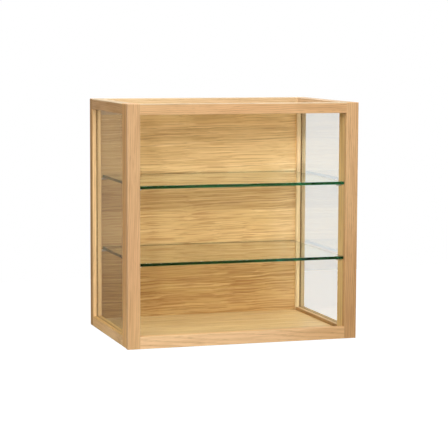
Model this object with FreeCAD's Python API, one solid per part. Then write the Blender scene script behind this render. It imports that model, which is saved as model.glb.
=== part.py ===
"""Wall display cabinet: a glazed oak frame with an open front and two glass shelves.

Millimetres. X runs to the right, Y from the open front to the wall, Z up.
The origin is at the middle of the underside.
"""
import FreeCAD, Part
import os

V = FreeCAD.Vector

# Overall size
width = 500.0
depth = 325.0
height = 500.0

# Face frame round the open front
stile_width = 26.5
face_thickness = 14.0
face_top_rail_height = 22.0
face_bottom_rail_height = 25.5

# Side frames: a front post, a back post and two rails each
front_post_depth = 29.0
back_post_depth = 21.0
frame_section = 24.0
side_rail_height = 22.0

# Rail across the back, above the back panel
back_top_rail_height = 35.0

# Eased arris on the frame members and on the glass
arris = 1.0
glass_arris = 0.2

# Panels, each let into grooves
floor_top = 15.0
floor_thickness = 9.0
top_recess = 12.0
top_panel_thickness = 6.0
back_panel_recess = 7.0
back_panel_thickness = 5.0
panel_groove_depth = 5.0
panel_edge_clear = 0.5

# Side glass, bedded in soft strips in the grooves of the side frames
glass_thickness = 4.0
glass_groove_depth = 7.0
glass_clear = 0.1
strip_wall = 1.3
strip_base = 1.0
strip_setback = 0.6
strip_clear = 0.1

# Glass shelves on pins
shelf_thickness = 6.0
shelf_end_clear = 1.5
shelf_front_setback = 7.0
shelf_back_clear = 2.0
lower_shelf_height = 169.3
upper_shelf_height = 327.6
shelf_seat_clear = 0.2

# Shelf pins and the soft sleeves on them
pin_radius = 1.5
pin_seat_depth = 7.0
pin_bearing = 8.0
sleeve_wall = 0.6
sleeve_clear = 0.05
hole_clear = 0.1

# Mortise and tenon joints of the frames
tenon_length = 12.0
tenon_shoulder = 2.5
tenon_clear = 0.1

# Keyhole hanger plates on the back posts, and their screws
hanger_drop = 60.0
hanger_length = 45.0
hanger_width = 16.0
hanger_thickness = 2.0
entry_radius = 4.5
slot_radius = 2.3
slot_rise = 9.0
entry_drop = 5.0
pocket_radius = 5.5
pocket_depth = 8.0
screw_edge = 5.0
screw_length = 12.0
screw_radius = 1.5
screw_head_radius = 3.0

# Faces that several pieces share
side = width / 2
front = -depth / 2
back = depth / 2
post_front = front + face_thickness
post_rear = post_front + front_post_depth
back_post_front = back - back_post_depth
opening_x = side - stile_width
rail_inner = side - frame_section
glass_x = side - frame_section / 2
glass_reach = glass_groove_depth - strip_clear - strip_base - glass_clear
strip_half = glass_thickness / 2 + glass_clear + strip_wall
side_opening_low = side_rail_height
side_opening_high = height - side_rail_height
floor_bottom = floor_top - floor_thickness
top_panel_top = height - top_recess
top_panel_bottom = top_panel_top - top_panel_thickness
back_panel_front = back_post_front + back_panel_recess
back_panel_rear = back_panel_front + back_panel_thickness
back_rail_bottom = height - back_top_rail_height
hanger_centre = height - hanger_drop
shelf_end = opening_x - shelf_end_clear
shelf_rear = back_panel_front - shelf_back_clear
shelf_undersides = {"lower": lower_shelf_height, "upper": upper_shelf_height}


def box(x0, x1, y0, y1, z0, z1):
    return Part.makeBox(x1 - x0, y1 - y0, z1 - z0, V(x0, y0, z0))


def rod(start, direction, length, radius):
    return Part.makeCylinder(radius, length, start, direction)


def stadium(x, z_low, z_high, radius, y0, y1):
    """An upright slot shape with round ends, from y0 to y1."""
    left_low = V(x - radius, y0, z_low)
    right_low = V(x + radius, y0, z_low)
    left_high = V(x - radius, y0, z_high)
    right_high = V(x + radius, y0, z_high)
    lower_arc = Part.Arc(left_low, V(x, y0, z_low - radius), right_low).toShape()
    upper_arc = Part.Arc(right_high, V(x, y0, z_high + radius), left_high).toShape()
    right_line = Part.makeLine(right_low, right_high)
    left_line = Part.makeLine(left_high, left_low)
    outline = Part.Wire([lower_arc, right_line, upper_arc, left_line])
    return Part.Face(outline).extrude(V(0, y1 - y0, 0))


def lies_on(edge, axis, value):
    """True where a straight edge lies in the plane axis = value."""
    bounds = edge.BoundBox
    low = getattr(bounds, axis + "Min")
    high = getattr(bounds, axis + "Max")
    return abs(low - value) < 1e-6 and abs(high - value) < 1e-6


def mirrored(shape):
    return shape.mirror(V(0, 0, 0), V(1, 0, 0))


def both_sides(right_shape):
    return {"left": mirrored(right_shape), "right": right_shape}


def cut_all(shape, tools):
    for tool in tools:
        shape = shape.cut(tool)
    return shape


def group(shapes):
    return Part.makeCompound(shapes)


def grown(bounds, clearance):
    """The box with these bounds, larger by a clearance on every side."""
    x0, x1, y0, y1, z0, z1 = bounds
    return box(x0 - clearance, x1 + clearance, y0 - clearance, y1 + clearance, z0 - clearance, z1 + clearance)


def tongues(bounds_list):
    return [grown(bounds, 0) for bounds in bounds_list]


def mortises(bounds_list):
    return [grown(bounds, tenon_clear) for bounds in bounds_list]


def across_tenons(joint_x, y0, y1, z0, z1):
    """Bounds of the tenons at both ends of a rail that runs along X."""
    return [
        (-joint_x - tenon_length, -joint_x, y0, y1, z0, z1),
        (joint_x, joint_x + tenon_length, y0, y1, z0, z1),
    ]


def face_tenons():
    """A third of the frame's thickness, in the wood beyond each panel groove."""
    y0 = front + face_thickness / 3
    y1 = post_front - face_thickness / 3
    low_top = face_bottom_rail_height - tenon_shoulder
    low = across_tenons(opening_x, y0, y1, floor_top + tenon_shoulder, low_top)
    high = across_tenons(opening_x, y0, y1, top_panel_top + tenon_shoulder, height - tenon_shoulder)
    return {"face_bottom_rail": low, "face_top_rail": high}


def side_tenons():
    """Tenons of the right side rails, in the wood beyond the glass and panel grooves."""
    x0 = rail_inner + panel_groove_depth + tenon_shoulder
    x1 = side - tenon_shoulder
    web = side_rail_height - glass_groove_depth
    levels = {"side_bottom_rail": 0, "side_top_rail": height - web}
    bounds = {}
    for name, web_low in levels.items():
        z0 = web_low + tenon_shoulder
        z1 = web_low + web - tenon_shoulder
        bounds[name] = [
            (x0, x1, post_rear - tenon_length, post_rear, z0, z1),
            (x0, x1, back_post_front, back_post_front + tenon_length, z0, z1),
        ]
    return bounds


def back_tenons():
    """Tenons of the back rails, in the wood behind the back panel."""
    y0 = back_panel_rear + tenon_shoulder
    y1 = back - tenon_shoulder
    low = across_tenons(rail_inner, y0, y1, tenon_shoulder, floor_top - tenon_shoulder)
    high_bottom = back_rail_bottom + panel_groove_depth + tenon_shoulder
    high = across_tenons(rail_inner, y0, y1, high_bottom, height - tenon_shoulder)
    return {"back_bottom_rail": low, "back_top_rail": high}


def parted(frame, members, tenons):
    """A frame cut into its members: rails keep their tenons, and the others are mortised."""
    sockets = [tool for bounds_list in tenons.values() for tool in mortises(bounds_list)]
    nodes = {}
    for name, blank in members.items():
        member = frame.common(blank)
        if name in tenons:
            nodes[name] = member.multiFuse(tongues(tenons[name])).removeSplitter()
        else:
            nodes[name] = cut_all(member, sockets)
    return nodes


def face_frame():
    """Two full-height stiles with the rails tenoned between them, eased as one frame."""
    rail_top = height - face_top_rail_height
    members = {
        "face_stile_left": box(-side, -opening_x, front, post_front, 0, height),
        "face_stile_right": box(opening_x, side, front, post_front, 0, height),
        "face_bottom_rail": box(-opening_x, opening_x, front, post_front, 0, face_bottom_rail_height),
        "face_top_rail": box(-opening_x, opening_x, front, post_front, rail_top, height),
    }
    blank = box(-side, side, front, post_front, 0, height)
    opening = box(-opening_x, opening_x, front, post_front, face_bottom_rail_height, rail_top)
    frame = blank.cut(opening)
    loops = [e for e in frame.Edges if lies_on(e, "Y", front) or lies_on(e, "Y", post_front)]
    frame = frame.makeFillet(arris, loops)
    groove_front = post_front - panel_groove_depth
    floor_groove = box(-opening_x, opening_x, groove_front, post_front, floor_bottom, floor_top)
    top_groove = box(-opening_x, opening_x, groove_front, post_front, top_panel_bottom, top_panel_top)
    frame = cut_all(frame, [floor_groove, top_groove])
    return parted(frame, members, face_tenons())


def window_block(half_thickness, margin):
    """A block in the plane of the right pane that fills the window and goes a margin past its edges."""
    return box(glass_x - half_thickness, glass_x + half_thickness,
               post_rear - margin, back_post_front + margin,
               side_opening_low - margin, side_opening_high + margin)


def side_frame_grooves():
    glass_groove = window_block(strip_half + strip_clear, glass_groove_depth)
    groove_end = rail_inner + panel_groove_depth
    floor_groove = box(rail_inner, groove_end, post_rear, back_post_front, floor_bottom, floor_top)
    top_groove = box(rail_inner, groove_end, post_rear, back_post_front,
                     top_panel_bottom, top_panel_top)
    back_groove = box(rail_inner, groove_end, back_panel_front, back_panel_rear,
                      floor_bottom, back_rail_bottom + panel_groove_depth)
    return [glass_groove, floor_groove, top_groove, back_groove]


def side_frame_arris(edge):
    """True for the edges of the right side frame that a hand can meet."""
    if lies_on(edge, "X", side) or lies_on(edge, "X", opening_x):
        return True
    inner_loop = lies_on(edge, "X", rail_inner) and not lies_on(edge, "Y", post_rear)
    return inner_loop and not lies_on(edge, "Y", back) and not lies_on(edge, "Z", 0)


def side_frames():
    """The right frame is eased as one, grooved, bored and parted into its members."""
    members = {
        "front_post": box(opening_x, side, post_front, post_rear, 0, height),
        "back_post": box(rail_inner, side, back_post_front, back, 0, height),
        "side_top_rail": box(rail_inner, side, post_rear, back_post_front, side_opening_high, height),
        "side_bottom_rail": box(rail_inner, side, post_rear, back_post_front, 0, side_opening_low),
    }
    blanks = list(members.values())
    frame = blanks[0].multiFuse(blanks[1:]).removeSplitter()
    frame = frame.makeChamfer(arris, [e for e in frame.Edges if side_frame_arris(e)])
    back_sockets = [tool for bounds_list in back_tenons().values() for tool in mortises(bounds_list)]
    frame = cut_all(frame, side_frame_grooves() + back_sockets + pin_holes() + [hanger_recess()])
    nodes = {}
    for name, right_member in parted(frame, members, side_tenons()).items():
        for hand, shape in both_sides(right_member).items():
            nodes[name + "_" + hand] = shape
    return nodes


def back_rails():
    top_rail = box(-rail_inner, rail_inner, back_post_front, back, back_rail_bottom, height)
    long_edges = [e for e in top_rail.Edges if e.BoundBox.XLength > e.BoundBox.YLength]
    top_rail = top_rail.makeChamfer(arris, [e for e in long_edges if lies_on(e, "Z", height)])
    panel_slot = box(-rail_inner, rail_inner, back_panel_front, back_panel_rear,
                     back_rail_bottom, back_rail_bottom + panel_groove_depth)
    top_groove = box(-rail_inner, rail_inner, back_post_front, back_post_front + panel_groove_depth,
                     top_panel_bottom, top_panel_top)
    bottom_rail = box(-rail_inner, rail_inner, back_post_front, back, 0, floor_top)
    rebate = box(-rail_inner, rail_inner, back_post_front, back_panel_rear, floor_bottom, floor_top)
    grooved = {
        "back_top_rail": cut_all(top_rail, [panel_slot, top_groove]),
        "back_bottom_rail": bottom_rail.cut(rebate),
    }
    tenons = back_tenons()
    return {name: rail.multiFuse(tongues(tenons[name])).removeSplitter() for name, rail in grooved.items()}


def notched_panel(y_rear, z0, z1):
    """A level panel in the side and front grooves, notched round the four posts."""
    edge = rail_inner + panel_groove_depth - panel_edge_clear
    y_front = post_front - panel_groove_depth + panel_edge_clear
    panel = box(-edge, edge, y_front, y_rear, z0, z1)
    front_notch = box(opening_x - panel_edge_clear, side, front, post_rear + panel_edge_clear, z0, z1)
    back_notch = box(rail_inner - panel_edge_clear, side, back_post_front - panel_edge_clear, back, z0, z1)
    notches = [front_notch, back_notch]
    return cut_all(panel, notches + [mirrored(notch) for notch in notches])


def panels():
    edge = rail_inner + panel_groove_depth - panel_edge_clear
    back_panel_top = back_rail_bottom + panel_groove_depth - panel_edge_clear
    top_rear = back_post_front + panel_groove_depth - panel_edge_clear
    return {
        "floor_panel": notched_panel(back_panel_front, floor_bottom, floor_top),
        "top_panel": notched_panel(top_rear, top_panel_bottom, top_panel_top),
        "back_panel": box(-edge, edge, back_panel_front, back_panel_rear, floor_bottom, back_panel_top),
    }


def side_glass():
    """The panes, and the soft strip of U section that beds the four edges of each."""
    pane = window_block(glass_thickness / 2, glass_reach)
    blank = window_block(strip_half, glass_groove_depth - strip_clear)
    channel = window_block(glass_thickness / 2 + glass_clear, glass_reach + glass_clear)
    daylight = window_block(strip_half, strip_setback)
    strip = cut_all(blank, [channel, daylight])
    nodes = {"side_glass_" + hand: shape for hand, shape in both_sides(pane).items()}
    nodes.update({"glazing_strip_" + hand: shape for hand, shape in both_sides(strip).items()})
    return nodes


def pin_height(underside):
    return underside - shelf_seat_clear - sleeve_wall - sleeve_clear - pin_radius


def pin_seats():
    """The right post faces that carry pins: the face and how far back the pin is."""
    front_pin_y = (post_front + post_rear) / 2
    back_pin_y = (back_post_front + back_panel_front) / 2
    return [(opening_x, front_pin_y), (rail_inner, back_pin_y)]


def pin_holes():
    holes = []
    for underside in shelf_undersides.values():
        for face_x, y in pin_seats():
            mouth = V(face_x, y, pin_height(underside))
            holes.append(rod(mouth, V(1, 0, 0), pin_seat_depth, pin_radius + hole_clear))
    return holes


def shelf_supports():
    """Four pins for each shelf, with a soft sleeve over the free end of each."""
    tip_x = shelf_end - pin_bearing
    nodes = {}
    for level, underside in shelf_undersides.items():
        pins = []
        sleeves = []
        for face_x, y in pin_seats():
            tip = V(tip_x, y, pin_height(underside))
            free = face_x - tip_x
            pins.append(rod(tip, V(1, 0, 0), free + pin_seat_depth, pin_radius))
            tube_bore = pin_radius + sleeve_clear
            tube = rod(tip, V(1, 0, 0), free, tube_bore + sleeve_wall)
            sleeves.append(tube.cut(rod(tip, V(1, 0, 0), free, tube_bore)))
        nodes["shelf_pins_" + level] = group(pins + [mirrored(pin) for pin in pins])
        nodes["shelf_sleeves_" + level] = group(sleeves + [mirrored(tube) for tube in sleeves])
    return nodes


def shelves():
    y_front = front + shelf_front_setback
    nodes = {}
    for level, underside in shelf_undersides.items():
        sheet = box(-shelf_end, shelf_end, y_front, shelf_rear, underside, underside + shelf_thickness)
        nodes["shelf_" + level] = sheet.makeChamfer(glass_arris, sheet.Edges)
    return nodes


def hanger_ends():
    """Heights of the centres of the plate's round ends."""
    half = hanger_length / 2 - hanger_width / 2
    return hanger_centre - half, hanger_centre + half


def keyhole_ends():
    entry = hanger_centre - entry_drop
    return entry, entry + slot_rise


def screw_heights():
    half = hanger_length / 2 - screw_edge
    return hanger_centre - half, hanger_centre + half


def screw(z, clearance):
    """A screw driven from the wall side, its head sunk in the plate, grown by a clearance."""
    head = screw_head_radius + clearance
    shank = screw_radius + clearance
    neck = back - hanger_thickness
    tip = back - screw_length
    profile = [V(0, back, 0), V(head, back, 0), V(shank, neck, 0), V(shank, tip, 0), V(0, tip, 0),
               V(0, back, 0)]
    turned = Part.Face(Part.makePolygon(profile)).revolve(V(0, 0, 0), V(0, 1, 0), 360)
    turned.translate(V(glass_x, 0, z))
    return turned


def hanger_recess():
    """The bed for the plate, the hollow for a screw head behind its keyhole, and the pilot holes."""
    bed_front = back - hanger_thickness
    bed = stadium(glass_x, *hanger_ends(), hanger_width / 2, bed_front, back)
    hollow = stadium(glass_x, *keyhole_ends(), pocket_radius, bed_front - pocket_depth, back)
    pilots = [screw(z, hole_clear) for z in screw_heights()]
    return bed.multiFuse([hollow] + pilots)


def hangers():
    bed_front = back - hanger_thickness
    entry, slot_end = keyhole_ends()
    plate = stadium(glass_x, *hanger_ends(), hanger_width / 2, bed_front, back)
    entry_hole = rod(V(glass_x, bed_front, entry), V(0, 1, 0), hanger_thickness, entry_radius)
    slot = stadium(glass_x, entry, slot_end, slot_radius, bed_front, back)
    bores = [screw(z, hole_clear) for z in screw_heights()]
    plate = cut_all(plate, [entry_hole, slot] + bores)
    screws = [screw(z, 0) for z in screw_heights()]
    nodes = {"hanger_plate_" + hand: shape for hand, shape in both_sides(plate).items()}
    nodes["hanger_screws"] = group(screws + [mirrored(one) for one in screws])
    return nodes


def main():
    makers = [face_frame, side_frames, back_rails, panels, side_glass, shelf_supports, shelves, hangers]
    os.makedirs("parts", exist_ok=True)
    for make in makers:
        for name, shape in make().items():
            shape.exportStep("parts/" + name + ".step")


main()
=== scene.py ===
"""Looks of the wall display cabinet: oiled oak, oak veneer, float glass, vinyl and zinc plate.

Metres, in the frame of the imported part: X to the right, Y from the open front to the wall, Z up.
"""
import math
import random
from typing import NamedTuple

import bpy
from mathutils import Euler, Matrix, Vector


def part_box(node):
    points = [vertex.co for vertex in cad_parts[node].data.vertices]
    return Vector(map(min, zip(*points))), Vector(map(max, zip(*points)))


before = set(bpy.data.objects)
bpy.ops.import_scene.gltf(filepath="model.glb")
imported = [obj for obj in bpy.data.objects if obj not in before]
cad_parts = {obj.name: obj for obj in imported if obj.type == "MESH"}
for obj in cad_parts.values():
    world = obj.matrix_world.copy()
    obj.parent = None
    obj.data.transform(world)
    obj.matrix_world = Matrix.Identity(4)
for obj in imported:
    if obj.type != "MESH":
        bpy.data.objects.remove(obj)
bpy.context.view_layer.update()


class Streak(NamedTuple):
    """Streaks of one colour along the grain. They begin and are full at these levels of the noise."""
    across_per_m: float
    along_per_m: float
    detail: float
    roughness: float
    begins: float
    full: float
    strength: float
    colour: tuple


class Veneer(NamedTuple):
    """How a panel's leaves are laid. Tone and streaks go from the first leaf's to the third's."""
    leaf_axis: str
    first_joint: float
    tones: tuple
    streak_strengths: tuple


class Lamp(NamedTuple):
    """A softbox. One that is not mirrored leaves no highlight."""
    place: tuple
    width: float
    height: float
    power: float
    mirrored: bool


# Camera, placed by a fit to the photograph's edges
camera_place = (-1.11735, -3.47795, 0.6333)
camera_yaw = 0.3127
camera_pitch = 0.1089
camera_roll = 0.0045
camera_lens_mm = 136.93
camera_sensor_mm = 36.0

# Studio
light_aim = (0.0, 0.0, 0.25)
lamps = {
    "key_softbox": Lamp((-0.81, -1.82, 1.59), 1.8, 2.2, 62.0, True),
    "overhead_softbox": Lamp((0.0, 0.15, 2.2), 1.8, 1.2, 22.0, True),
    "left_fill": Lamp((-2.18, 0.27, 0.0), 1.4, 1.0, 3.5, True),
    "rear_fill": Lamp((0.0, 2.6, 1.0), 0.5, 1.8, 30.0, False),
    "right_fill": Lamp((2.4, 0.1, 0.25), 0.3, 0.5, 14.0, False),
}
ambient_light = 0.07
floor_drop = 0.9
floor_width = 14.0
floor_white = 0.8
floor_fade = (1.2, 3.2)
floor_lift = (0.5, 1.0)
# Dark cards: place along Y, span along X, span along Z
dark_card_places = {
    "dark_card_left": (0.95, (-0.33, -2.4), (-0.8, 1.6)),
    "dark_card_front": (-4.4, (-4.0, 4.0), (-0.8, 3.2)),
}
# The left card's warm glow, seen only in mirrored light, is a painted reflection that lightens the left pane.
card_painted_reflection_colour = (1.0, 0.66, 0.45, 1.0)
card_painted_reflection_heights = (-0.2, 0.2)
card_painted_reflection_strengths = (0.15, 0.345)

# Solid oak of the frames. Colours are on a 0 to 255 scale
pith_bearing_spread = 0.5
pith_distance = (0.11, 0.2)
pith_half_length = 4
frame_lean = 0.035
frame_wander = 0.006
frame_waves_per_m = 6.0
frame_ring_width = 0.0040
frame_ring_unevenness = 0.002
frame_drift_per_m = (14.0, 1.6)
frame_colours = ((228, 184, 133), (222, 173, 125))
frame_streaks = (
    Streak(110.0, 8.0, 3.0, 0.5, 0.46, 0.68, 0.45, (196, 148, 101)),
    Streak(420.0, 14.0, 2.0, 0.5, 0.48, 0.66, 0.35, (198, 150, 102)),
)
frame_early_colour = (197, 148, 100)
frame_pore_colour = (146, 102, 62)
frame_pore_strength = 0.5
worn_edge_colour = (236, 199, 155)
worn_edge_strength = 0.35
worn_edge_width = 0.0016
frame_dryness = (0.44, 0.56)

# Oak veneer of the panels
veneer_leaf_height = 0.158
veneer_last_leaf = 2.0
leaf_slip = (0.31, 0.39)
veneer_pith_side = -0.21
veneer_pith_depth = (0.17, 0.2)
veneer_pith_half_length = 3
veneer_lean = 0.02
veneer_tilt = 0.012
veneer_wander = 0.0075
veneer_waves_per_m = 7.0
veneer_ring_width = 0.0042
veneer_ring_unevenness = 0.012
veneer_drift_per_m = (16.0, 1.8)
veneer_colours = ((222, 185, 129), (211, 174, 115))
veneer_streaks = (
    Streak(170.0, 2.6, 3.0, 0.5, 0.5, 0.68, 0.6, (238, 205, 150)),
    Streak(230.0, 3.0, 4.0, 0.6, 0.5, 0.66, 0.45, (182, 134, 78)),
    Streak(520.0, 7.0, 2.0, 0.5, 0.5, 0.66, 0.48, (176, 128, 74)),
)
veneer_early_per_m = (45.0, 6.0)
veneer_early_colour = (164, 120, 66)
veneer_pore_colour = (136, 95, 52)
veneer_pore_strength = 0.4
veneer_dryness = (0.4, 0.5)
veneers = {
    # The back panel's leaves darken downwards: partly their own tone, partly painted shade below each shelf.
    "back_panel": Veneer("Z", 0.0145, ((0.81, 0.75, 0.60), (1.27, 1.33, 1.36)), (1.6, 0.95)),
    "floor_panel": Veneer("Y", -0.13, ((1.05, 1.13, 1.18), (1.05, 1.13, 1.18)), (1.0, 1.0)),
    "top_panel": Veneer("Y", -0.09, ((1.0, 1.06, 1.16), (1.0, 1.06, 1.16)), (0.7, 0.7)),
}

# Both oaks
pores_per_m = (1300.0, 18.0)
pore_levels = (0.56, 0.68)
dryness_per_m = (40.0, 12.0)
oil_ior = 1.46

# Glass, whose colour is what its iron lets through
glass_ior = 1.52
side_glass_iron = ((0.0, 0.31, 0.33, 1.0), 24.0)
shelf_glass_iron = ((0.0, 0.70, 0.66, 1.0), 8.0)
wiped_haze = 0.035

# Fittings
clear_vinyl_colours = ((202, 196, 180), (182, 176, 160))
clear_vinyl_clearness = 0.6
brown_vinyl_colours = ((174, 138, 86), (156, 122, 73))
zinc_colours = ((148, 150, 152), (180, 181, 179))

# How light each board is, in red, green and blue
plain_tone = (1.0, 1.0, 1.0)
board_tones = {
    "back_post_left": (0.96, 1.05, 1.04),
    "back_post_right": (1.22, 1.50, 1.70),
    # back_top_rail: partly its own tone, partly painted sheen on its top face.
    "back_top_rail": (0.96, 1.25, 1.55),
    "face_bottom_rail": (1.30, 1.46, 1.56),
    "face_stile_left": (0.98, 0.98, 0.96),
    "face_stile_right": (1.03, 1.04, 1.03),
    "face_top_rail": (1.07, 1.09, 1.06),
    "front_post_left": (1.04, 0.97, 0.76),
    "front_post_right": (0.84, 1.00, 0.85),
    "side_bottom_rail_left": (1.31, 1.40, 1.22),
    "side_bottom_rail_right": (0.94, 1.06, 1.04),
    "side_top_rail_left": (0.89, 0.89, 0.83),
    # side_top_rail_right: partly its own tone, partly painted sheen on its top face.
    "side_top_rail_right": (0.95, 1.15, 1.45),
}

# Changes of tone within a board, some its own and many painted light and shade, noted where they stand: what they
# do to the colour, and their span along each axis.
# A span has a start, an end and how softly it fades beyond them. None is an open end.
left_outside = {"X": (None, -0.2490, 0.0006)}
top_edge = {"Z": (0.4988, None, 0.0010)}
panel_front = {"Y": (None, 0.149, 0.001)}
right_post_front = {"X": (None, 0.2362, 0.0008)}
right_stile_inside = {"X": (None, 0.2240, 0.0006)}
left_ledge_height = {"Z": (0.0215, None, 0.0008)}
board_tone_and_light_marks = {
    "back_panel": [
        # Painted shade: a darker band just under the upper shelf.
        ((0.82, 0.78, 0.71), panel_front | {"Z": (0.256, 0.303, 0.014)}),
        # Painted shadow of the left stile and post: darker towards the left.
        ((0.87, 0.83, 0.77), panel_front | {"X": (None, -0.122, 0.05), "Z": (0.05, 0.43, 0.05)}),
        # Painted light: paler at the right edge, below the upper shelf.
        ((1.06, 1.11, 1.25), panel_front | {"X": (0.205, None, 0.06), "Z": (None, 0.33, 0.04)}),
        # Painted light: a paler band just above the upper shelf.
        ((1.08, 1.11, 1.19), panel_front | {"X": (-0.10, 0.08, 0.08), "Z": (0.328, 0.347, 0.010)}),
        # Painted shade under the top, at the upper right.
        ((0.94, 0.91, 0.84), panel_front | {"X": (0.02, None, 0.10), "Z": (0.418, None, 0.02)}),
        ((1.08, 1.10, 1.13), panel_front | {"X": (None, -0.09, 0.08), "Z": (0.405, None, 0.02)}),
        ((0.90, 0.88, 0.86), panel_front | {"Z": (0.408, 0.430, 0.012)}),
    ],
    "back_post_left": [
        # Painted shade on the left-facing outer face.
        ((0.71, 0.61, 0.46), left_outside),
    ],
    "back_post_right": [
        # Painted shade: the front face inside the glass darker below the upper shelf.
        ((0.80, 0.81, 0.76), right_post_front | {"Z": (None, 0.32, 0.04)}),
        # Painted shade under the top.
        ((0.88, 0.90, 0.86), right_post_front | {"Z": (0.425, None, 0.02)}),
        # Painted light: a paler band just above the upper shelf, on both strips of the front face.
        ((1.10, 1.11, 1.10), {"Z": (0.362, 0.398, 0.018)}),
        ((1.20, 1.28, 1.34), {"X": (0.2400, None, 0.0008), "Z": (0.362, 0.398, 0.018)}),
    ],
    "face_bottom_rail": [
        ((0.84, 0.78, 0.68), {"X": (0.22, None, 0.20)}),
    ],
    "face_stile_left": [
        # Painted light and shade: lighter towards the bottom, a little darker towards the top.
        ((1.07, 1.10, 1.05), {"Z": (None, 0.03, 0.15)}),
        ((0.95, 0.98, 1.00), {"Z": (0.48, None, 0.38)}),
    ],
    "face_stile_right": [
        # Painted shade: darker towards the bottom.
        ((0.81, 0.74, 0.63), {"Z": (None, 0.03, 0.36)}),
        # Painted shade on the inner face beside the post, darker towards the back.
        ((0.90, 0.92, 0.90), right_stile_inside),
        ((0.84, 0.86, 0.84), right_stile_inside | {"Y": (-0.156, None, 0.005)}),
    ],
    "face_top_rail": [
        ((0.92, 0.94, 0.94), {"X": (None, -0.20, 0.20)}),
        # Painted sheen: the top face paler and less warm, more so towards the right.
        ((0.88, 1.07, 1.36), top_edge),
        ((1.14, 1.20, 1.24), top_edge | {"X": (0.04, None, 0.04)}),
    ],
    "floor_panel": [
        # Painted light: paler towards the open front.
        ((1.09, 1.13, 1.22), {"Y": (None, -0.08, 0.12)}),
    ],
    "front_post_left": [
        # Painted light and shade on the outer face: lighter at the bottom, darker at the top.
        ((1.12, 1.17, 1.17), left_outside | {"Z": (None, 0.03, 0.12)}),
        ((0.87, 0.88, 0.85), left_outside | {"Z": (0.40, None, 0.30)}),
    ],
    "front_post_right": [
        # Painted highlight: a pale line on the inner face just behind the stile.
        ((1.62, 1.60, 1.85), {"X": (0.2250, 0.2266, 0.0010), "Y": (-0.1405, -0.1350, 0.0010)}),
        # Painted shade under the top rail.
        ((0.66, 0.64, 0.58), {"X": (0.2250, 0.2266, 0.0040), "Z": (0.4700, None, 0.0040)}),
    ],
    "side_bottom_rail_left": [
        # Painted light: the outer face paler towards the front.
        ((1.02, 1.06, 1.20), left_outside | {"Y": (None, -0.02, 0.12)}),
        # Painted shade on the ledge on top, outside and inside the glass.
        ((0.60, 0.58, 0.47), left_ledge_height | {"X": (None, -0.2380, 0.0008)}),
        ((0.74, 0.77, 0.71), left_ledge_height | {"X": (-0.2370, None, 0.0008)}),
        # Painted shade along the bottom arris.
        ((0.62, 0.60, 0.60), {"Z": (None, 0.0010, 0.0010)}),
    ],
    "side_bottom_rail_right": [
        ((0.55, 0.47, 0.35), {"X": (0.2250, 0.2273, 0.0003), "Z": (None, 0.0225, 0.0003)}),
        # Painted shade: the inner face darker towards the front, low down.
        ((0.84, 0.82, 0.78), {"X": (0.2250, 0.2264, 0.06), "Y": (None, -0.05, 0.06), "Z": (None, 0.0212, 0.06)}),
    ],
    "side_top_rail_left": [
        # Painted shade: the outer face darker towards the front.
        ((0.90, 0.86, 0.80), left_outside | {"Y": (None, -0.06, 0.10)}),
        # Painted sheen: the top face paler and less warm.
        ((1.05, 1.34, 1.75), top_edge),
    ],
}


def from_srgb(red, green, blue):
    """A colour read on a 0 to 255 scale, as the linear colour that a shader takes."""
    def linear(level):
        share = level / 255
        return share / 12.92 if share <= 0.04045 else ((share + 0.055) / 1.055) ** 2.4
    return (linear(red), linear(green), linear(blue), 1.0)


def new_material(name):
    """An empty node tree and its output node."""
    material = bpy.data.materials.new(name)
    material.use_nodes = True
    tree = material.node_tree
    tree.nodes.clear()
    return material, tree, tree.nodes.new("ShaderNodeOutputMaterial")


def add(tree, kind, inputs=None, **settings):
    """A new node. inputs pairs a socket with a value, or with the output that feeds it."""
    made = tree.nodes.new("ShaderNode" + kind)
    for setting, value in settings.items():
        setattr(made, setting, value)
    for socket, value in (inputs or {}).items():
        if isinstance(value, bpy.types.NodeSocket):
            tree.links.new(value, made.inputs[socket])
        else:
            made.inputs[socket].default_value = value
    return made


def on_surface(tree):
    """The point being shaded, in the frame of its node."""
    return add(tree, "TexCoord").outputs["Object"]


def reckon(tree, operation, *values):
    """One step of arithmetic."""
    return add(tree, "Math", dict(enumerate(values)), operation=operation).outputs[0]


def blended(tree, share, low, high):
    """Two colours mixed by a share."""
    return add(tree, "Mix", {0: share, 6: low, 7: high}, data_type="RGBA").outputs[2]


def between(tree, value, low, high, to_low=0.0, to_high=1.0):
    """A value's place between two limits, held within them."""
    ranged = {"Value": value, "From Min": low, "From Max": high, "To Min": to_low, "To Max": to_high}
    return add(tree, "MapRange", ranged, interpolation_type="SMOOTHSTEP").outputs["Result"]


def stretched_noise(tree, place, across, along, detail=2.0, roughness=0.5):
    """Noise in the log, so many to the metre across the grain and along it."""
    scaled = add(tree, "Mapping", {"Vector": place, "Scale": (across, across, along)}).outputs[0]
    noise = {"Vector": scaled, "Scale": 1.0, "Detail": detail, "Roughness": roughness}
    return add(tree, "TexNoise", noise).outputs["Fac"]


def in_the_log(tree, surface, grain_axis, pith, lean):
    """Where a point of the board was in the log: the pith is the upright axis, a little out of line."""
    axis = {"X": Vector((1, 0, 0)), "Y": Vector((0, 1, 0)), "Z": Vector((0, 0, 1))}[grain_axis]
    upright = axis.rotation_difference(Vector((0, 0, 1))).to_matrix()
    turn = (Euler(lean).to_matrix() @ upright).to_euler()
    return add(tree, "Mapping", {"Vector": surface, "Rotation": turn, "Location": pith}).outputs[0]


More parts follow.
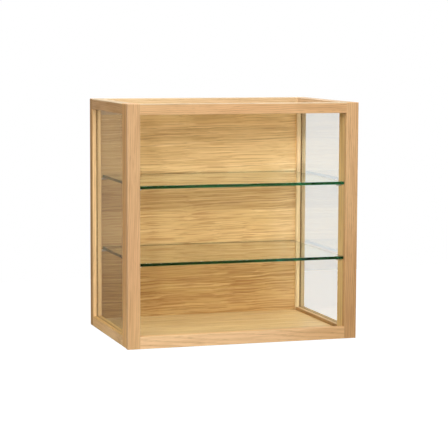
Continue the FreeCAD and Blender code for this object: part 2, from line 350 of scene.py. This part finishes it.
def wavering(tree, place, wander, waves_per_m):
    """The grain a little out of true: slow waves along the log, and small quick ones in them."""
    for across, along, size in ((9.0, waves_per_m, wander), (60.0, 3 * waves_per_m, wander * 0.2)):
        scaled = add(tree, "Mapping", {"Vector": place, "Scale": (across, across, along)}).outputs[0]
        wave = add(tree, "TexNoise", {"Vector": scaled, "Scale": 1.0, "Detail": 2.0}).outputs["Color"]
        sway = add(tree, "VectorMath", {0: wave, 1: (0.5, 0.5, 0.5)}, operation="SUBTRACT").outputs[0]
        moved = {0: sway, 1: (size, size, 0.0), 2: place}
        place = add(tree, "VectorMath", moved, operation="MULTIPLY_ADD").outputs[0]
    return place


def growth_rings(tree, place, ring_width, unevenness):
    """How far through its year's ring a point is, and a tone of that year's own."""
    level = add(tree, "VectorMath", {0: place, 1: (1, 1, 0)}, operation="MULTIPLY").outputs[0]
    radius = add(tree, "VectorMath", {0: level}, operation="LENGTH").outputs["Value"]
    grown = reckon(tree, "SUBTRACT", stretched_noise(tree, place, 55.0, 0.6), 0.5)
    years = reckon(tree, "DIVIDE", reckon(tree, "MULTIPLY_ADD", grown, unevenness, radius), ring_width)
    year = reckon(tree, "FLOOR", years)
    tone = add(tree, "TexWhiteNoise", {"W": year}, noise_dimensions="1D").outputs["Value"]
    return reckon(tree, "FRACT", years), tone


def early_wood(tree, through):
    """The open, porous start of a ring, which fades into the dense summer wood."""
    opens = between(tree, through, 0.0, 0.06)
    fades = between(tree, through, 0.12, 0.55, 1.0, 0.0)
    return reckon(tree, "MULTIPLY", opens, fades)


def pores(tree, place, early):
    """Short dark dashes along the grain, thick in the early wood and thin elsewhere."""
    dashes = between(tree, stretched_noise(tree, place, *pores_per_m, 1.0), *pore_levels)
    return reckon(tree, "MULTIPLY", dashes, reckon(tree, "MULTIPLY_ADD", early, 0.75, 0.25))


def drifting(tree, place, per_m, colours):
    """The slow drift of a board's colour between two."""
    drift = between(tree, stretched_noise(tree, place, *per_m), 0.3, 0.7)
    return blended(tree, drift, from_srgb(*colours[0]), from_srgb(*colours[1]))


def streaked(tree, place, colour, streak, share=1.0):
    """The colour with streaks along the grain, at a share of their strength."""
    noise = stretched_noise(tree, place, streak.across_per_m, streak.along_per_m, streak.detail, streak.roughness)
    strength = reckon(tree, "MULTIPLY", share, streak.strength)
    shown = reckon(tree, "MULTIPLY", between(tree, noise, streak.begins, streak.full), strength)
    return blended(tree, shown, colour, from_srgb(*streak.colour))


def edge_nearness(tree, surface, low, high):
    """1 on the arrises of a member's box, fading to 0 a little way in."""
    middle, half = (low + high) / 2, (high - low) / 2
    centred = add(tree, "VectorMath", {0: surface, 1: middle}, operation="SUBTRACT").outputs[0]
    size = add(tree, "VectorMath", {0: centred}, operation="ABSOLUTE").outputs[0]
    inside = add(tree, "VectorMath", {0: half, 1: size}, operation="SUBTRACT").outputs[0]
    x, y, z = add(tree, "SeparateXYZ", {0: inside}).outputs
    nearer = reckon(tree, "MINIMUM", x, y)
    further = reckon(tree, "MAXIMUM", x, y)
    to_edge = reckon(tree, "MAXIMUM", nearer, reckon(tree, "MINIMUM", further, z))
    return between(tree, to_edge, 0.0, worn_edge_width, 1.0, 0.0)


def marked(tree, surface, spans):
    """1 within the spans, fading to 0 a little way outside them."""
    share = 1.0
    places = add(tree, "SeparateXYZ", {0: surface}).outputs
    for axis, (start, end, soft) in spans.items():
        if start is not None:
            share = reckon(tree, "MULTIPLY", share, between(tree, places[axis], start - soft, start))
        if end is not None:
            share = reckon(tree, "MULTIPLY", share, between(tree, places[axis], end, end + soft, 1.0, 0.0))
    return share


def toned(tree, colour, tone):
    """The colour times a tone."""
    return add(tree, "VectorMath", {0: colour, 1: tone}, operation="MULTIPLY").outputs[0]


def with_tone_and_light_marks(tree, surface, colour, marks):
    """The colour, made lighter or darker inside each mark, for a board's own tone or for painted light and shade.
    """
    for shade, spans in marks:
        colour = blended(tree, marked(tree, surface, spans), colour, toned(tree, colour, shade))
    return colour


def dryness(tree, place, low, high):
    """How rough the oil leaves the wood: dry in some places, wet in others."""
    return between(tree, stretched_noise(tree, place, *dryness_per_m), 0.3, 0.7, low, high)


def oiled_surface(tree, output, colour, early, pore, edge, dry):
    """The shader under the figure: matt oil, open pores, and arrises polished by handling."""
    height = reckon(tree, "MULTIPLY_ADD", pore, -1.0, reckon(tree, "MULTIPLY", early, -0.35))
    bump = add(tree, "Bump", {"Height": height, "Strength": 0.35, "Distance": 0.00025}).outputs[0]
    open_grain = reckon(tree, "MULTIPLY_ADD", pore, 0.18, dry)
    roughness = reckon(tree, "MULTIPLY_ADD", edge, -0.08, open_grain) if edge else open_grain
    oiled = {"Base Color": colour, "Roughness": roughness, "Normal": bump, "IOR": oil_ior}
    tree.links.new(add(tree, "BsdfPrincipled", oiled).outputs[0], output.inputs["Surface"])


def oak(name, grain_axis, board, low, high, tone, marks):
    """Solid oak for one member, cut from its own place in the log. tone is how light the board is."""
    material, tree, output = new_material(name)
    surface = on_surface(tree)
    bearing = board.choice((0.0, math.pi)) + board.uniform(-pith_bearing_spread, pith_bearing_spread)
    from_pith = board.uniform(*pith_distance)
    along_pith = board.uniform(-pith_half_length, pith_half_length)
    pith = (from_pith * math.cos(bearing), from_pith * math.sin(bearing), along_pith)
    lean = (board.uniform(-frame_lean, frame_lean), board.uniform(-frame_lean, frame_lean), 0.0)
    place = in_the_log(tree, surface, grain_axis, pith, lean)
    place = wavering(tree, place, frame_wander, frame_waves_per_m)
    through, year = growth_rings(tree, place, frame_ring_width, frame_ring_unevenness)
    early = early_wood(tree, through)
    pore = pores(tree, place, early)
    edge = edge_nearness(tree, surface, low, high)

    colour = drifting(tree, place, frame_drift_per_m, frame_colours)
    for streak in frame_streaks:
        colour = streaked(tree, place, colour, streak)
    ring_share = reckon(tree, "MULTIPLY", early, reckon(tree, "MULTIPLY_ADD", year, 0.55, 0.25))
    colour = blended(tree, ring_share, colour, from_srgb(*frame_early_colour))
    pore_share = reckon(tree, "MULTIPLY", pore, frame_pore_strength)
    colour = blended(tree, pore_share, colour, from_srgb(*frame_pore_colour))
    edge_share = reckon(tree, "MULTIPLY", edge, worn_edge_strength)
    colour = blended(tree, edge_share, colour, from_srgb(*worn_edge_colour))
    colour = with_tone_and_light_marks(tree, surface, toned(tree, colour, tone), marks)
    oiled_surface(tree, output, colour, early, pore, edge, dryness(tree, place, *frame_dryness))
    return material


def oak_veneer(name, veneer, board, marks):
    """Flat-cut oak veneer, in leaves laid side by side with the grain along X, each of its own tone."""
    material, tree, output = new_material(name)
    surface = on_surface(tree)
    x, y, z = add(tree, "SeparateXYZ", {0: surface}).outputs
    across, through_panel = (z, y) if veneer.leaf_axis == "Z" else (y, z)
    leaves = reckon(tree, "DIVIDE", reckon(tree, "SUBTRACT", across, veneer.first_joint), veneer_leaf_height)
    leaf = reckon(tree, "FLOOR", leaves)
    in_leaf = reckon(tree, "MULTIPLY", reckon(tree, "SUBTRACT", leaves, leaf), veneer_leaf_height)
    slipped = reckon(tree, "MULTIPLY_ADD", leaf, board.uniform(*leaf_slip), x)
    laid = add(tree, "CombineXYZ", {0: slipped, 1: through_panel, 2: in_leaf}).outputs[0]
    pith_depth = board.uniform(*veneer_pith_depth)
    along_pith = board.uniform(-veneer_pith_half_length, veneer_pith_half_length)
    lean = (board.uniform(-veneer_lean, veneer_lean), veneer_tilt, 0.0)
    place = in_the_log(tree, laid, "X", (veneer_pith_side, pith_depth, along_pith), lean)
    place = wavering(tree, place, veneer_wander, veneer_waves_per_m)
    through, year = growth_rings(tree, place, veneer_ring_width, veneer_ring_unevenness)
    early = early_wood(tree, through)
    pore = pores(tree, place, early)

    colour = drifting(tree, place, veneer_drift_per_m, veneer_colours)
    streak_share = between(tree, leaf, 0.0, veneer_last_leaf, *veneer.streak_strengths)
    for streak in veneer_streaks:
        colour = streaked(tree, place, colour, streak, streak_share)
    strength = between(tree, stretched_noise(tree, place, *veneer_early_per_m), 0.4, 0.7, 0.1, 0.8)
    ring_strength = reckon(tree, "MULTIPLY", strength, reckon(tree, "MULTIPLY_ADD", year, 0.7, 0.3))
    ring_share = reckon(tree, "MULTIPLY", early, ring_strength)
    colour = blended(tree, ring_share, colour, from_srgb(*veneer_early_colour))
    pore_share = reckon(tree, "MULTIPLY", pore, veneer_pore_strength)
    colour = blended(tree, pore_share, colour, from_srgb(*veneer_pore_colour))
    low_tone, high_tone = veneer.tones
    leaf_share = between(tree, leaf, 0.0, veneer_last_leaf)
    leaf_tone = blended(tree, leaf_share, (*low_tone, 1.0), (*high_tone, 1.0))
    colour = with_tone_and_light_marks(tree, surface, toned(tree, colour, leaf_tone), marks)
    oiled_surface(tree, output, colour, early, pore, None, dryness(tree, place, *veneer_dryness))
    return material


def float_glass(name, passes, depth_per_m):
    """Clear float glass, wiped clean, that iron makes green through its depth."""
    material, tree, output = new_material(name)
    wiped = add(tree, "TexNoise", {"Vector": on_surface(tree), "Scale": 9.0, "Detail": 4.0}).outputs["Fac"]
    haze = between(tree, wiped, 0.45, 0.8, 0.0, wiped_haze)
    clear = {"Base Color": (1, 1, 1, 1), "Roughness": haze, "IOR": glass_ior, "Transmission Weight": 1.0}
    tree.links.new(add(tree, "BsdfPrincipled", clear).outputs[0], output.inputs["Surface"])
    iron = add(tree, "VolumeAbsorption", {"Color": passes, "Density": depth_per_m})
    tree.links.new(iron.outputs[0], output.inputs["Volume"])
    return material


def zinc_plate(name):
    """Zinc-plated steel, with the fine scratches of a stamped fitting."""
    material, tree, output = new_material(name)
    surface = on_surface(tree)
    clouds = add(tree, "TexNoise", {"Vector": surface, "Scale": 240.0, "Detail": 4.0}).outputs["Fac"]
    lines = add(tree, "Mapping", {"Vector": surface, "Scale": (2600.0, 300.0, 120.0)}).outputs[0]
    scratches = add(tree, "TexNoise", {"Vector": lines, "Scale": 1.0, "Detail": 2.0}).outputs["Fac"]
    dull, bright = zinc_colours
    colour = blended(tree, clouds, from_srgb(*dull), from_srgb(*bright))
    roughness = between(tree, reckon(tree, "ADD", clouds, scratches), 0.7, 1.3, 0.26, 0.46)
    bump = add(tree, "Bump", {"Height": scratches, "Strength": 0.2, "Distance": 0.0001}).outputs[0]
    plated = {"Base Color": colour, "Metallic": 1.0, "Roughness": roughness, "Normal": bump}
    tree.links.new(add(tree, "BsdfPrincipled", plated).outputs[0], output.inputs["Surface"])
    return material


def soft_vinyl(name, colours, clearness):
    """Soft extruded vinyl, cloudy and a little greasy."""
    material, tree, output = new_material(name)
    clouds = add(tree, "TexNoise", {"Vector": on_surface(tree), "Scale": 130.0, "Detail": 5.0}).outputs["Fac"]
    pale, deep = colours
    colour = blended(tree, between(tree, clouds, 0.35, 0.65), from_srgb(*pale), from_srgb(*deep))
    roughness = between(tree, clouds, 0.3, 0.7, 0.38, 0.55)
    bump = add(tree, "Bump", {"Height": clouds, "Strength": 0.15, "Distance": 0.0002}).outputs[0]
    soft = {"Base Color": colour, "Roughness": roughness, "IOR": 1.5, "Transmission Weight": clearness,
            "Normal": bump}
    tree.links.new(add(tree, "BsdfPrincipled", soft).outputs[0], output.inputs["Surface"])
    return material


def dress(node, material):
    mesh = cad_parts[node].data
    mesh.materials.clear()
    mesh.materials.append(material)


def dress_frames(boards):
    """Oak for each stile, post and rail, with the grain along its length."""
    for node in sorted(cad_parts):
        words = node.split("_")
        if "stile" in words or "post" in words:
            grain_axis = "Z"
        elif "rail" in words:
            grain_axis = "Y" if "side" in words else "X"
        else:
            continue
        tone, marks = board_tones.get(node, plain_tone), board_tone_and_light_marks.get(node, [])
        dress(node, oak("oak_" + node, grain_axis, boards, *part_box(node), tone, marks))


def dress_panels(boards):
    for node, veneer in veneers.items():
        dress(node, oak_veneer("veneer_" + node, veneer, boards, board_tone_and_light_marks.get(node, [])))


def dress_fittings():
    """Glass, vinyl and zinc."""
    side_panes = float_glass("float_glass_side", *side_glass_iron)
    shelf_panes = float_glass("float_glass_shelf", *shelf_glass_iron)
    clear_vinyl = soft_vinyl("clear_vinyl", clear_vinyl_colours, clear_vinyl_clearness)
    brown_vinyl = soft_vinyl("brown_vinyl", brown_vinyl_colours, 0.0)
    zinc = zinc_plate("zinc_plate")
    for hand in ("left", "right"):
        dress("side_glass_" + hand, side_panes)
        dress("glazing_strip_" + hand, brown_vinyl)
        dress("hanger_plate_" + hand, zinc)
    for level in ("lower", "upper"):
        dress("shelf_" + level, shelf_panes)
        dress("shelf_pins_" + level, zinc)
        dress("shelf_sleeves_" + level, clear_vinyl)
    dress("hanger_screws", zinc)


def seen_ray(tree):
    """1 for the rays that show the background: straight from the camera, mirrored, or through glass."""
    path = add(tree, "LightPath").outputs
    shown = reckon(tree, "MAXIMUM", path["Is Camera Ray"], path["Is Glossy Ray"])
    return reckon(tree, "MAXIMUM", shown, path["Is Transmission Ray"])


def card(name, corners, material):
    """A flat card of the studio, from its corners."""
    mesh = bpy.data.meshes.new(name)
    mesh.from_pydata(corners, [], [range(len(corners))])
    mesh.materials.append(material)
    made = bpy.data.objects.new(name, mesh)
    bpy.context.scene.collection.objects.link(made)


def studio_floor():
    """A plain white floor, well below the cabinet, that takes its shadow and fades to white far out."""
    material, tree, output = new_material("studio_floor")
    white = add(tree, "BsdfDiffuse", {"Color": (floor_white, floor_white, floor_white, 1.0)})
    away = add(tree, "VectorMath", {0: on_surface(tree)}, operation="LENGTH").outputs["Value"]
    lift = reckon(tree, "MULTIPLY", seen_ray(tree), between(tree, away, *floor_fade, *floor_lift))
    lifted = add(tree, "Emission", {"Color": (1, 1, 1, 1), "Strength": lift})
    both = add(tree, "AddShader", {0: white.outputs[0], 1: lifted.outputs[0]})
    tree.links.new(both.outputs[0], output.inputs["Surface"])
    half, z = floor_width / 2, -floor_drop
    card("studio_floor", [(-half, -half, z), (half, -half, z), (half, half, z), (-half, half, z)], material)


def dark_cards():
    """The dark room in front and to the left, seen only in mirrored light: it keeps a white veil off the glass.
    The left card also glows warm, more so higher up, as a painted reflection in the glass.
    """
    material, tree, output = new_material("dark_card")
    mirrored = reckon(tree, "GREATER_THAN", add(tree, "LightPath").outputs["Glossy Depth"], 0.5)
    clear = add(tree, "BsdfTransparent", {"Color": (1, 1, 1, 1)})
    places = add(tree, "SeparateXYZ", {0: on_surface(tree)}).outputs
    behind = reckon(tree, "GREATER_THAN", places["Y"], 0.0)
    glow = between(tree, places["Z"], *card_painted_reflection_heights, *card_painted_reflection_strengths)
    lit = reckon(tree, "MULTIPLY", behind, glow)
    dark = add(tree, "Emission", {"Color": card_painted_reflection_colour, "Strength": lit})
    either = add(tree, "MixShader", {0: mirrored, 1: clear.outputs[0], 2: dark.outputs[0]})
    tree.links.new(either.outputs[0], output.inputs["Surface"])
    for name, (y, (x0, x1), (z0, z1)) in dark_card_places.items():
        card(name, [(x0, y, z0), (x1, y, z0), (x1, y, z1), (x0, y, z1)], material)


def hang_lamps():
    for name, lamp in lamps.items():
        light = bpy.data.lights.new(name, "AREA")
        light.shape = "RECTANGLE"
        light.size, light.size_y, light.energy = lamp.width, lamp.height, lamp.power
        made = bpy.data.objects.new(name, light)
        made.location = lamp.place
        made.rotation_euler = (Vector(light_aim) - Vector(lamp.place)).to_track_quat("-Z", "Y").to_euler()
        made.visible_glossy = lamp.mirrored
        bpy.context.scene.collection.objects.link(made)


def white_background():
    """White where it shows, and dim as a light."""
    world = bpy.data.worlds.new("white_studio")
    world.use_nodes = True
    tree = world.node_tree
    tree.nodes.clear()
    strength = reckon(tree, "MULTIPLY_ADD", seen_ray(tree), 1.0 - ambient_light, ambient_light)
    background = add(tree, "Background", {"Color": (1, 1, 1, 1), "Strength": strength})
    output = tree.nodes.new("ShaderNodeOutputWorld")
    tree.links.new(background.outputs[0], output.inputs["Surface"])
    bpy.context.scene.world = world


def photograph_camera():
    lens = bpy.data.cameras.new("camera")
    lens.sensor_width = camera_sensor_mm
    lens.lens = camera_lens_mm
    camera = bpy.data.objects.new("camera", lens)
    turn = (Matrix.Rotation(-camera_yaw, 4, "Z") @ Matrix.Rotation(math.pi / 2 - camera_pitch, 4, "X")
            @ Matrix.Rotation(camera_roll, 4, "Z"))
    camera.matrix_world = Matrix.Translation(camera_place) @ turn
    bpy.context.scene.collection.objects.link(camera)
    bpy.context.scene.camera = camera


def render_settings():
    scene = bpy.context.scene
    scene.view_settings.view_transform = "Standard"
    scene.cycles.blur_glossy = 0.0
    scene.cycles.max_bounces = 24
    scene.cycles.glossy_bounces = 20
    scene.cycles.transmission_bounces = 24


boards = random.Random(11)
dress_frames(boards)
dress_panels(boards)
dress_fittings()
studio_floor()
dark_cards()
hang_lamps()
white_background()
photograph_camera()
render_settings()
